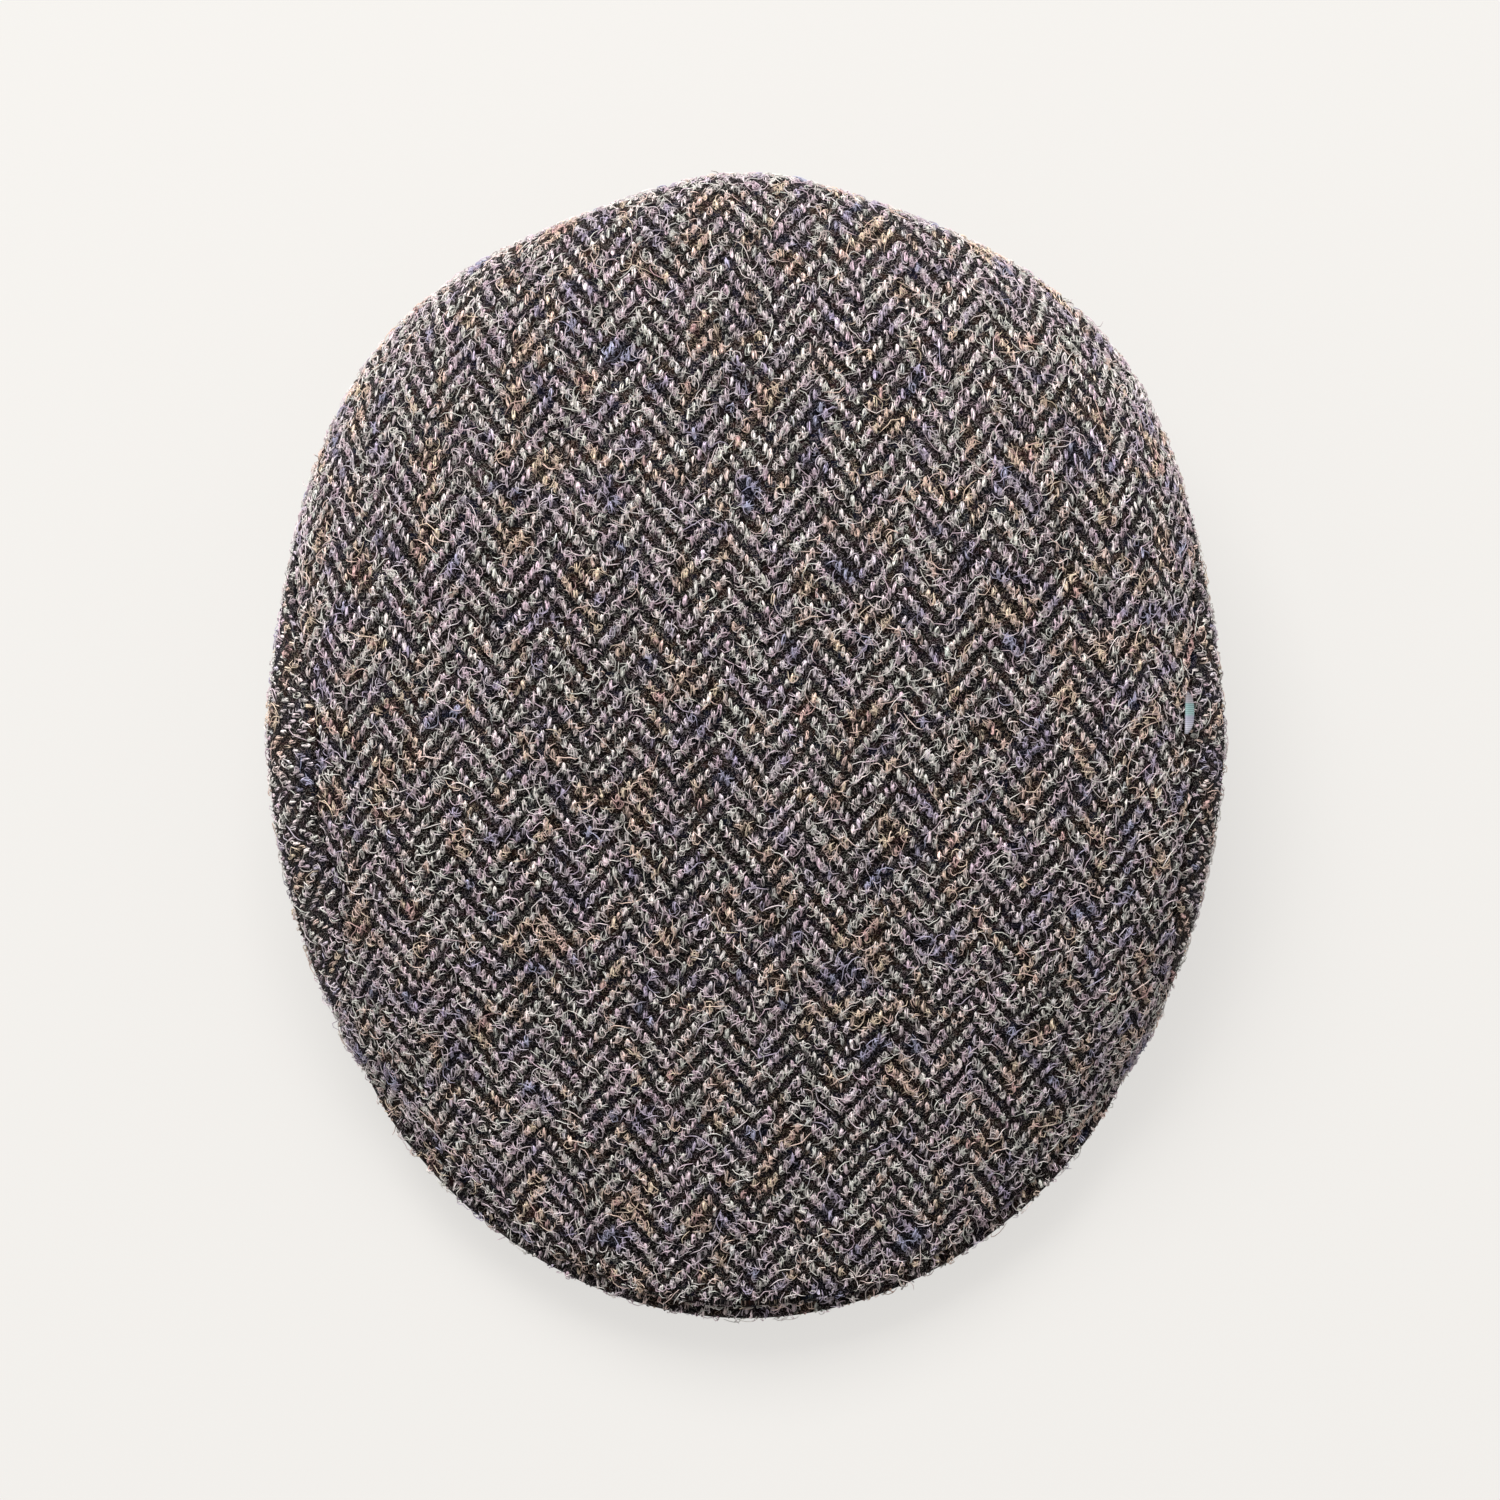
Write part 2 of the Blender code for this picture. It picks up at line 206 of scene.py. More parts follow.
def dome(share, angle, y, edge_y):
    """The crown's height at a share of the way out from its middle to its widest line."""
    round_off = 1 - np.clip(1 - share ** section_at(angle, FULLNESS), 0, 1) ** section_at(angle, LIP)
    return spine(y) - (spine(edge_y) - section_at(angle, WIDEST) * CROWN_HEIGHT) * round_off


def skin(angles, side):
    """For each angle, the crown's outer face from its middle over the widest line to the rim."""
    angles = np.asarray(angles, float)[:, None]
    edge, foot = outline(angles, side, shown(angles)), rim(angles, side)
    steps = np.linspace(0, 1, SKIN_STEPS + 1)
    share = np.sin(math.pi / 2 * steps ** (section_at(angles, FULLNESS) / 2))
    share = share ** (2 / section_at(angles, FULLNESS))
    middle = np.array((0.0, WIDEST_Y))
    above = middle + (edge - middle) * share[..., None]
    heights = dome(share, angles, above[..., 1], edge[..., 1])
    under = np.sin(math.pi / 2 * steps[1:]) ** 2
    below = edge + (foot - edge) * under[:, None]
    widest = section_at(angles, WIDEST) * CROWN_HEIGHT * (1 - steps[1:])
    return np.hstack([np.dstack([above, heights]), np.dstack([below, widest])])


def lengths(lines):
    """How far along its line each point is."""
    steps = np.linalg.norm(np.diff(lines, axis=1), axis=2)
    return np.hstack([np.zeros((len(lines), 1)), np.cumsum(steps, 1)])


def seams_at(lines, along, angles, side):
    """How far along each line the top seam runs."""
    heights = section_at(np.asarray(angles, float), SEAM_LEFT if side == LEFT else SEAM_RIGHT)
    found = []
    for line, far, height in zip(lines, along, heights * CROWN_HEIGHT):
        last = np.nonzero(line[:, 2] >= height)[0][-1]
        part = (line[last, 2] - height) / (line[last, 2] - line[last + 1, 2])
        found.append(far[last] + (far[last + 1] - far[last]) * part)
    return np.array(found)


def at_lengths(lines, along, wanted):
    """The points that lie so far along each line."""
    return np.array([
        np.stack([np.interp(want, far, line[:, axis]) for axis in range(3)], -1)
        for line, far, want in zip(lines, along, wanted)
    ])


def grid_faces(columns, rows, wrap=False):
    """Quads between neighbouring columns of points."""
    here = np.arange(columns if wrap else columns - 1)[:, None] * rows
    there = (here + rows) % (columns * rows)
    i = np.arange(rows - 1)
    return np.stack([here + i, here + i + 1, there + i + 1, there + i], -1).reshape(-1, 4)


def grid_normals(points, wrap):
    """The outward normal at each point of a grid of columns."""
    if wrap:
        across = np.roll(points, -1, 0) - np.roll(points, 1, 0)
    else:
        across = np.gradient(points, axis=0)
    normals = np.cross(np.gradient(points, axis=1), across)
    return normals / np.linalg.norm(normals, axis=2, keepdims=True)


# A sheet's outer face: its points, their normals, the cloth's own flat coordinates in millimetres,
# and its triangles.
Sheet = namedtuple("Sheet", "points normals flat triangles")


def halves(quads):
    """Each quad as two triangles."""
    return np.vstack([quads[:, [0, 1, 2]], quads[:, [0, 2, 3]]])


def mesh_piece(name, points, faces, maps, material):
    """A smooth mesh object. Each UV map has one row for each corner of the faces, in order."""
    mesh = bpy.data.meshes.new(name)
    mesh.from_pydata(points.tolist(), [], faces)
    for title, values in maps.items():
        layer = mesh.uv_layers.new(name=title)
        layer.uv.foreach_set("vector", values.astype(np.float32).ravel())
    mesh.shade_smooth()
    mesh.materials.append(material)
    piece = bpy.data.objects.new(name, mesh)
    scene.collection.objects.link(piece)
    return piece


def bake_places(flat, low, high):
    """The cloth's coordinates laid out in one part of a bake's image, from its lowest corner."""
    unit = (flat - flat.min(0)) / np.ptp(flat, axis=0)
    return np.array(low) + unit * (np.array(high) - np.array(low))


def closed_cloth(name, points, normals, flat, material, wrap=False, pole=None):
    """A closed sheet as thick as the cloth, from the grid of its outer face. A pole is the place,
    normal and flat coordinates of the one point where the columns start."""
    columns, rows = points.shape[:2]
    quads = grid_faces(columns, rows, wrap)
    faces, triangles = quads.tolist(), halves(quads)
    outer, out, spread = points.reshape(-1, 3), normals.reshape(-1, 3), flat.reshape(-1, 2)
    if pole:
        outer, out, spread = (np.vstack(both) for both in zip((outer, out, spread), pole))
        tips = [[len(outer) - 1, i * rows, (i + 1) % columns * rows] for i in range(columns)]
        faces += tips
        triangles = np.vstack([triangles, tips])
    count = len(outer)
    inner = outer - out * CLOTH
    border = [i * rows + rows - 1 for i in range(columns)]
    if not wrap:
        last = (columns - 1) * rows
        border += [last + i for i in range(rows - 2, -1, -1)]
        border += [i * rows for i in range(columns - 2, 0, -1)] + list(range(rows - 1))
    turned = [[i + count for i in reversed(face)] for face in faces]
    edges = [[b, a, a + count, b + count] for a, b in zip(border, border[1:] + border[:1])]
    every = faces + turned + edges
    corners = np.concatenate(every)
    places = np.vstack([bake_places(spread, *OUTER_BAKE), bake_places(spread, *INNER_BAKE)])
    maps = {"cloth": np.vstack([spread, spread])[corners], "OFBake": places[corners]}
    piece = mesh_piece(name, np.vstack([outer, inner]), every, maps, material)
    return piece, Sheet(outer, out, spread, triangles)


def path_length(start, end, fixed, along_x):
    """The length over the dome from start to end, along a line of fixed x or fixed y in plan."""
    steps = np.sin(np.linspace(0, math.pi / 2, PATH_STEPS))
    moving = start[:, None] + (end - start)[:, None] * steps
    held = np.broadcast_to(fixed[:, None], moving.shape)
    x, y = (moving, held) if along_x else (held, moving)
    out_x, out_y = np.abs(x) / (CROWN_WIDTH / 2), y - WIDEST_Y
    out_y = out_y / np.where(out_y > 0, WIDEST_FROM_BACK, FRONT_REACH)
    angle = np.degrees(np.arctan2(out_y, out_x)) + 90
    edge = outline(angle, LEFT, shown(angle))
    share = np.hypot(x, y - WIDEST_Y) / np.hypot(edge[..., 0], edge[..., 1] - WIDEST_Y)
    height = dome(np.clip(share, 0, 1), angle, y, edge[..., 1])
    return np.sum(np.hypot(np.diff(moving), np.diff(height)), 1)


def top_flat(plan):
    """The cloth's flat coordinates over the dome, in millimetres: across from the middle stripe, and
    along the warp from the widest line."""
    x, y = plan[:, 0], plan[:, 1]
    across = np.sign(x) * path_length(np.zeros_like(x), x, y, True)
    along = np.sign(y - WIDEST_Y) * path_length(np.full_like(y, WIDEST_Y), y, x, False)
    reach = np.where(y > WIDEST_Y, WIDEST_FROM_BACK, FRONT_REACH)
    near_end = np.clip((y - WIDEST_Y) / reach, -NEAR_END, NEAR_END)
    half_width = CROWN_WIDTH / 2 * np.sqrt(1 - near_end**2)
    across = across * (1 + EASED_IN * np.clip(np.abs(x) / half_width, 0, 1) ** EASED_POWER)
    across = across / MILLIMETRE - WANDER * np.sin(math.pi / 2 * np.clip(y / WANDER_REACH, -1, 1))
    return np.stack([across, along / MILLIMETRE], -1)


def uneven(flat, distance):
    """How far the cloth rises or sinks, in an irregular wave that fades out at its edges."""
    u, v = flat[..., 0] / UNEVEN_LENGTH * math.pi, flat[..., 1] / UNEVEN_LENGTH * math.pi
    wave = np.sin(u + 1.3 * np.sin(0.7 * v + 1)) * np.cos(0.8 * v - 0.9 * np.sin(0.6 * u))
    return wave * UNEVEN * MILLIMETRE * ease(distance, *UNEVEN_FROM_EDGE)


def turned_in(points, normals, distance):
    """The grid with its edge rolled in towards the seam. Distance is to the edge, in millimetres."""
    near = np.clip(1 - distance / TURN_REACH, 0, 1)
    depth = TURN_DEPTH * (1 - np.sqrt(1 - near**2)) + ALLOWANCE_SLOPE * np.clip(-distance, 0, None)
    return points - normals * depth[..., None] * MILLIMETRE


# The columns stand round the crown, from the front along the left to the back and along the right.
angles = np.r_[
    np.linspace(0, PEAK_CORNER_ANGLE, FRONT_COLUMNS, endpoint=False),
    np.linspace(PEAK_CORNER_ANGLE, 180, BACK_COLUMNS),
]
ring = [(LEFT, angles), (RIGHT, angles[-2:0:-1])]
columns, flats, distances = [], [], []
for side, turns in ring:
    lines = skin(turns, side)
    along = lengths(lines)
    ends = seams_at(lines, along, turns, side) - SEAM_GAP / 2
    edge_places = ends[:, None] - np.array(EDGE_ROWS[::-1]) * MILLIMETRE
    shares = 1 - (1 - np.arange(1, TOP_ROWS) / TOP_ROWS) ** TOP_CROWDING
    places = np.hstack([edge_places[:, :1] * shares, edge_places])
    grid = at_lengths(lines, along, places)
    widest = along[:, SKIN_STEPS]
    out = outline(turns, side) - (0, WIDEST_Y)
    out /= np.linalg.norm(out, axis=1, keepdims=True)
    flat = top_flat(grid[..., :2].reshape(-1, 2)).reshape(*grid.shape[:2], 2)
    rolled_under = np.clip(places - widest[:, None], 0, None)[..., None] / MILLIMETRE
    at_widest = top_flat(lines[:, SKIN_STEPS, :2])[:, None] + out[:, None] * rolled_under
    flat = np.where(rolled_under > 0, at_widest, flat)
    columns.append(grid)
    flats.append(flat)
    distances.append((ends[:, None] - places) / MILLIMETRE)
points, flat, distance = (np.concatenate(part) for part in (columns, flats, distances))
normals = grid_normals(points, True)
points = points + normals * uneven(flat, distance)[..., None]
points = turned_in(points, normals, distance)
past = EDGE_ROWS[::-1].index(0.0) + TOP_ROWS
over_peak = np.concatenate([turns for _, turns in ring]) < PEAK_CORNER_ANGLE + OVER_PEAK_MARGIN
fall = distance[over_peak, past:, None] * MILLIMETRE * ALLOWANCE_DROP
points[over_peak, past:] = points[over_peak, past - 1][:, None] + fall * (0.0, 0.0, 1.0)
normals = grid_normals(points, True)
pole_flat = top_flat(np.array([(0.0, WIDEST_Y)]))[0]
pole = np.array((0.0, WIDEST_Y, spine(np.array(WIDEST_Y)) + uneven(pole_flat, math.inf)))


def linear(colour):
    """An sRGB hex colour as a linear RGBA one."""
    parts = [int(colour[i : i + 2], 16) / 255 for i in (1, 3, 5)]
    return (*[p / 12.92 if p <= 0.04045 else ((p + 0.055) / 1.055) ** 2.4 for p in parts], 1.0)


def node(tree, kind, inputs=(), **settings):
    """Adds a shader node with its settings. Each input is a value, or an output that feeds it."""
    made = tree.nodes.new(f"ShaderNode{kind}")
    for title, value in settings.items():
        setattr(made, title, value)
    for place, value in dict(inputs).items():
        if isinstance(value, bpy.types.NodeSocket):
            tree.links.new(value, made.inputs[place])
        else:
            made.inputs[place].default_value = value
    return made


def shades(ramp, stops):
    """Sets a colour ramp's stops, as pairs of a place and a hex colour."""
    band = ramp.color_ramp
    while len(band.elements) < len(stops):
        band.elements.new(1.0)
    for element, (place, colour) in zip(band.elements, stops):
        element.position = place
        element.color = linear(colour)
    return ramp.outputs["Color"]


def new_material(name, **settings):
    """A material, its tree and its Principled shader, with what is the same all over it."""
    material = bpy.data.materials.new(name)
    material.use_nodes = True
    shader = material.node_tree.nodes["Principled BSDF"]
    for title, value in settings.items():
        shader.inputs[title.replace("_", " ")].default_value = value
    return material, material.node_tree, shader


# The weave is a 2/2 twill of thick woollen yarn, and END and PICK are how far apart its warp and weft
# yarns lie, in millimetres. It repeats over four ends and four picks, and turns round every eight
# ends, which draws the herringbone. One of its stripes starts at FIRST_STRIPE.
END = 1.30
PICK = 1.57
REPEAT = 4
STRIPE_ENDS = 8
FIRST_STRIPE = -16.3

# The wool is dyed before it is spun, so soft patches of each colour run through warp, weft and fuzz.
# They are about 9 mm across, and so are the places where the cloth is a little lighter or darker.
PATCH_SCALE = 0.11
WORN = 0.72
FRESH = 1.28
PATCH_STOPS = [
    (0.32, "#c7cdea"), (0.37, "#d7cde8"), (0.42, "#fbf7fc"), (0.455, "#e8d2e2"), (0.49, "#fefafa"),
    (0.52, "#dfe7df"), (0.55, "#fcf7f7"), (0.59, "#e9d0c6"), (0.63, "#eadfc6"), (0.68, "#dabab8"),
]


def dyed(tree, place, colour):
    """The colour with the dyed patches over it, and soft lighter and darker places. The noise is
    mostly between 0.3 and 0.7."""
    noise = {"Vector": place, "Scale": PATCH_SCALE, "Detail": 3.0, "Roughness": 0.6}
    patchy = node(tree, "TexNoise", noise | {"Distortion": 0.5}).outputs[0]
    patch = shades(node(tree, "ValToRGB", {0: patchy}), PATCH_STOPS)
    both = {0: 1.0, 6: colour, 7: patch}
    tinted = node(tree, "Mix", both, data_type="RGBA", blend_type="MULTIPLY").outputs[2]
    worn = node(tree, "TexNoise", noise).outputs[0]
    light = node(tree, "MapRange", {0: worn, 1: 0.3, 2: 0.7, 3: WORN, 4: FRESH}).outputs[0]
    return node(tree, "VectorMath", {0: tinted, "Scale": light}, operation="SCALE").outputs[0]


def strands(tree, place, scale, lines, dark, light):
    """How light fine curled strands are: lines that follow the slopes of a noise. Wool fibres are
    0.03 mm thick, too fine to show, so these lines are drawn about half a millimetre apart. A line
    is all dark where its wave is below -0.6."""
    noise = {"Vector": place, "Scale": scale, "Detail": 2.0, "Roughness": 0.55}
    slope = node(tree, "TexNoise", noise).outputs[0]
    turn = node(tree, "Math", {0: slope, 1: lines}, operation="MULTIPLY").outputs[0]
    line = node(tree, "Math", {0: turn}, operation="SINE").outputs[0]
    return node(tree, "MapRange", {0: line, 1: -0.6, 2: 1.0, 3: dark, 4: light}).outputs[0]


# Woollen weft yarn, dyed in the wool: dark browns with a little navy and wine in them. Its near-black
# is partly the yarn's own colour and partly painted shade of the hollows between the pale floats,
# with a few fine pale strands in them, and no gloss.
tweed_weft, tree, shader = new_material(
    "woollen_weft_cloth", Roughness=0.95, Specular_IOR_Level=0.05, Sheen_Weight=0.05,
    Sheen_Roughness=0.4, Sheen_Tint=linear("#d2cdd8"),
)
cloth_map = node(tree, "UVMap", uv_map="cloth").outputs[0]
in_cells = {0: cloth_map, 1: (2 * END, PICK, 1.0)}
counted = node(tree, "VectorMath", in_cells, operation="DIVIDE").outputs[0]
cell = node(tree, "VectorMath", {0: counted}, operation="FLOOR").outputs[0]
drawn = node(tree, "TexWhiteNoise", {"Vector": cell}, noise_dimensions="2D")
# The weft's colours, darkened to near-black with painted shade of the hollows between the floats.
weft_colour_and_hollow_shade = shades(
    node(tree, "ValToRGB", {0: drawn.outputs["Value"]}),
    [(0.0, "#0d0a09"), (0.3, "#15100e"), (0.5, "#0f1015"), (0.68, "#1c1411"), (0.8, "#131624"),
     (0.9, "#261b15"), (1.0, "#1f1316")],
)
# The strands' dark lines lie where their bump is low: painted shade in the grooves between them.
strand_and_groove_shade = strands(tree, cloth_map, scale=0.55, lines=60.0, dark=0.2, light=1.8)
streaked_and_shaded = node(tree, "VectorMath", {0: weft_colour_and_hollow_shade, "Scale": strand_and_groove_shade}, operation="SCALE").outputs[0]
fuzz_share = strands(tree, cloth_map, scale=0.6, lines=40.0, dark=-4.0, light=0.48)
both = {0: fuzz_share, 6: streaked_and_shaded, 7: linear("#c4bdb8")}
fuzzed = node(tree, "Mix", both, data_type="RGBA").outputs[2]
tree.links.new(dyed(tree, cloth_map, fuzzed), shader.inputs["Base Color"])
raised = {"Height": strand_and_groove_shade, "Distance": 0.15 * MILLIMETRE, "Strength": 0.6}
bump = node(tree, "Bump", raised).outputs[0]
tree.links.new(bump, shader.inputs["Normal"])

top_cloth, top_sheet = closed_cloth(
    "top_panel_cloth", points, normals, flat, tweed_weft, wrap=True, pole=(pole, (0, 0, 1), pole_flat)
)
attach(top_cloth, "root")
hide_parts("top_panel")

# The top panel's warp floats
# The pale warp yarn goes over two picks and under two, so it shows as short plump floats in slanting
# rows. Each is a soft spun yarn of mixed wools, a little different in size and colour from the next.
# A float is a tube of rings, each at a share of its length and swollen to a share of its height.
FLOAT_LENGTH = 2.2 * PICK
FLOAT_WIDTH = 1.12 * END
FLOAT_RISE = 0.42
FLOAT_RIDGE = 1.35
FLOAT_SUNK = 0.12
FLOAT_END_SUNK = 0.35
FLOAT_END_WIDTH = 0.45
FLOAT_RINGS = ((-0.5, 0.35), (-0.24, 1.0), (0.22, 1.0), (0.5, 0.35))
HALVINGS = 3

# How many millimetres the floats stray and how much they slant, between which shares their sizes
# vary, how many widths the spun pattern is round, and between which places on it a float starts.
STRAY_ACROSS = 0.06
STRAY_ALONG = 0.12
SLANT = 0.10
LENGTH_SHARES = (0.88, 1.12)
WIDTH_SHARES = (0.82, 1.12)
RISE_SHARES = (0.75, 1.25)
YARN_GIRTH = 2.5
YARN_STARTS = (0, 90)

# Each float and fibre gets a cell of a bake's image, with this share of it left free at each side.
CELL_MARGIN = 0.08

# Mixed woollen warp yarn, dyed in the wool and soft spun: pale grey and cream with a little blue, rose
# and sand. It is matt, made of fine pale strands that turn with the spin, with painted shade in the
# grooves between them.
warp_yarn, tree, shader = new_material(
    "woollen_warp_yarn", Roughness=0.92, Specular_IOR_Level=0.1, Sheen_Weight=0.08,
    Sheen_Roughness=0.4, Sheen_Tint=linear("#d6d2dc"),
)
middle = node(tree, "UVMap", uv_map="float").outputs[0]
along_yarn = node(tree, "UVMap", uv_map="yarn").outputs[0]
drawn = node(tree, "TexWhiteNoise", {"Vector": middle}, noise_dimensions="2D")
yarn_colour = shades(
    node(tree, "ValToRGB", {0: drawn.outputs["Value"]}),
    [(0.0, "#8f898a"), (0.15, "#aea8a8"), (0.4, "#cac3c3"), (0.6, "#dcd4d2"), (0.8, "#ece4e1"),
     (0.85, "#d2c9c2"), (0.89, "#c9c6d0"), (0.93, "#cfc2be"), (0.97, "#c7c9ca"), (1.0, "#f2ebe8")],
)
twist = {"Vector": along_yarn, "Rotation": (0.0, 0.0, 0.35), "Scale": (1.5, 0.55, 1.0)}
twisted = node(tree, "Mapping", twist).outputs[0]
# The strands' dark lines lie where their bump is low: painted shade in the grooves of the twist.
strand_and_groove_shade = strands(tree, twisted, scale=1.0, lines=13.0, dark=0.0, light=2.2)
patched = dyed(tree, middle, yarn_colour)
streaked_and_shaded = node(tree, "VectorMath", {0: patched, "Scale": strand_and_groove_shade}, operation="SCALE").outputs[0]
tree.links.new(streaked_and_shaded, shader.inputs["Base Color"])
raised = {"Height": strand_and_groove_shade, "Distance": 0.3 * MILLIMETRE, "Strength": 0.8}
bump = node(tree, "Bump", raised).outputs[0]
tree.links.new(bump, shader.inputs["Normal"])


def places_on(sheet, finder, flat):
    """Where flat coordinates lie on a sheet: whether they do, the place, the normal, and the way
    across the cloth, as long as a millimetre of cloth is there."""
    found = [finder.ray_cast(Vector((u, v, 1)), Vector((0, 0, -1)))[2] for u, v in flat]
    on = np.array([index is not None for index in found])
    corners = sheet.triangles[[index or 0 for index in found]]

    # Each place's weights in its triangle, from the flat coordinates of the corners.
    a, b, c = (sheet.flat[corners[:, i]] for i in range(3))
    (bu, bv), (cu, cv) = (b - a).T, (c - a).T
    area = bu * cv - bv * cu
    pu, pv = (flat - a).T
    s, t = (pu * cv - pv * cu) / area, (bu * pv - bv * pu) / area
    weights = np.stack([1 - s - t, s, t], -1)[..., None]
    place = (sheet.points[corners] * weights).sum(1)
    normal = (sheet.normals[corners] * weights).sum(1)
    normal /= np.linalg.norm(normal, axis=1, keepdims=True)
    side_b = sheet.points[corners[:, 1]] - sheet.points[corners[:, 0]]
    side_c = sheet.points[corners[:, 2]] - sheet.points[corners[:, 0]]
    across = (side_b * cv[:, None] - side_c * bv[:, None]) / area[:, None]
    return on, place, normal, across


def flat_tree(sheet):
    """Finds the triangle under a place in the cloth's flat coordinates."""
    flat = [(u, v, 0.0) for u, v in sheet.flat.tolist()]
    return BVHTree.FromPolygons(flat, sheet.triangles.tolist())


def tubes(name, rings, maps, material):
    """Many short closed tubes with three sides in one mesh. Rings holds each tube's rings of three
    points. Each UV map is a pair: where each tube starts in it, and how far round and along it runs."""
    count, steps = rings.shape[:2]
    points = rings.reshape(-1, 3)
    ring, side = np.meshgrid(np.arange(steps - 1), np.arange(3), indexing="ij")
    ring, side = ring.ravel(), side.ravel()
    turn = (side + 1) % 3
    quads = np.stack([ring * 3 + side, ring * 3 + 3 + side, ring * 3 + 3 + turn, ring * 3 + turn], -1)
    first = (np.arange(count) * steps * 3)[:, None, None]
    last = (steps - 1) * 3
    walls = (first + quads).reshape(-1, 4).tolist()
    ends = (first[:, 0] + np.arange(3)).tolist() + (first[:, 0] + last + np.array((2, 1, 0))).tolist()
    wall_ring = np.stack([ring, ring + 1, ring + 1, ring], -1).ravel()
    wall_side = np.stack([side, side, side + 1, side + 1], -1).ravel()
    corners = {}
    for title, (base, step) in maps.items():
        base = np.broadcast_to(base, (count, 2))
        shift = np.stack([wall_side / 3, wall_ring / (steps - 1)], -1) * step
        wall = (base[:, None] + shift).reshape(-1, 2)
        near = np.repeat(base + np.array(step) * (0.5, 0.0), 3, axis=0)
        far = np.repeat(base + np.array(step) * (0.5, 1.0), 3, axis=0)
        corners[title] = np.vstack([wall, near, far])
    return mesh_piece(name, points, walls + ends, corners, material)


def bake_cells(count):
    """A small cell of a bake's image for each of many tubes."""
    across = math.ceil(math.sqrt(count))
    number = np.arange(count)
    start = np.stack([number % across, number // across], -1) + CELL_MARGIN
    return start / across, (1 - 2 * CELL_MARGIN) / across


def warp_floats(name, sheet, seed, keep=None):
    """The warp's floats over a whole sheet, where the weave puts them. Keep says which places may
    have them, and a float that would run out of those is shorter."""
    draw = np.random.default_rng(seed)
    low, high = sheet.flat.min(0), sheet.flat.max(0)
    first, past = (low[0] - FIRST_STRIPE) / END, (high[0] - FIRST_STRIPE) / END
    ends = np.arange(math.floor(first), math.ceil(past))
    stripe, place = ends // STRIPE_ENDS, ends % STRIPE_ENDS
    phase = np.where(stripe % 2 == 0, place, 1 - place) % REPEAT
    first, past = low[1] / PICK / REPEAT, high[1] / PICK / REPEAT
    repeats = np.arange(math.floor(first) - 1, math.ceil(past) + 1)
    u = np.repeat(FIRST_STRIPE + (ends + 0.5) * END, len(repeats))
    v = ((phase[:, None] + REPEAT * repeats) * PICK).ravel()
    u = u + draw.normal(0, STRAY_ACROSS, len(u))
    v = v + draw.normal(0, STRAY_ALONG, len(v))
    finder = flat_tree(sheet)
    slant = draw.normal(0, SLANT, len(u))
    length = FLOAT_LENGTH * draw.uniform(*LENGTH_SHARES, len(u))

    def ring_places(reach):
        """Where one ring of every float lies, so far along it, and whether that is on the cloth."""
        there = np.stack([u + slant * reach, v + reach], -1)
        on, place, normal, across = places_on(sheet, finder, there)
        return on & keep(place) if keep else on, place, normal, across

    found = []
    for share, _ in FLOAT_RINGS:
        reach = share * length
        for _ in range(HALVINGS):
            reach = np.where(ring_places(reach)[0], reach, reach / 2)
        found.append(ring_places(reach))
    on = np.all([each[0] for each in found], axis=0)
    width = (FLOAT_WIDTH / 2 * draw.uniform(*WIDTH_SHARES, len(u)))[on, None]
    rise = (FLOAT_RISE * draw.uniform(*RISE_SHARES, len(u)))[on, None] * MILLIMETRE
    rings = []
    for (_, place, normal, across), (_, swollen) in zip(found, FLOAT_RINGS):
        place, normal, across = place[on], normal[on], across[on]
        base = place - normal * (FLOAT_SUNK + FLOAT_END_SUNK * (1 - swollen)) * MILLIMETRE
        reach = across * width * (FLOAT_END_WIDTH + (1 - FLOAT_END_WIDTH) * swollen)
        ridge = base + normal * rise * swollen * FLOAT_RIDGE
        rings.append(np.stack([base - reach, base + reach, ridge], 1))
    rings = np.stack(rings, 1)
    cells, span = bake_cells(len(rings))
    starts = draw.uniform(*YARN_STARTS, (len(rings), 2))
    maps = {
        "float": (np.stack([u, v], -1)[on], (0.0, 0.0)),
        "yarn": (starts, (YARN_GIRTH * FLOAT_WIDTH, FLOAT_LENGTH)),
        "OFBake": (cells, (span, span)),
    }
    return tubes(name, rings, maps, warp_yarn), maps["float"][0]


top_warp, top_spots = warp_floats("top_panel_warp", top_sheet, 11)
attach(top_warp, "root")

# The top panel's loose fibres
# Tweed isn't shorn, so the yarns are covered in short wool fibres that curl out of them, and longer
# ones lie over them. They make the haze on the cloth and the soft outline against the light.
TOP_CURLS = 22200
TOP_PARTS = 3
TOP_FIBRES = 2500

# Every fibre's radius, its lift off the cloth and about how far from a float's middle it lies, in
# millimetres. Then where on a half round its thin ends and its arch begin, and how its turns vary.
FIBRE_RADIUS = 0.12
FIBRE_LIFT = 0.15
CURL_SPREAD = 0.5
FIBRE_SPREAD = 2.0
FIBRE_TAPER = 0.35
ARCH_START = 0.12
ARCH_END = 0.05
TURN_SHARES = (0.3, 1.5)

# How one kind of fibre lies: its rings, length, how far it turns at each step steadily and by chance,
# and how high it arches, in millimetres and radians.
Fibres = namedtuple("Fibres", "rings length turn wobble rise")
SHORT_CURLS = Fibres(4, (1.8, 3.8), 1.05, 0.35, (0.4, 0.9))
LONG_FIBRES = Fibres(6, (4.0, 8.0), 0.42, 0.4, (0.4, 1.0))

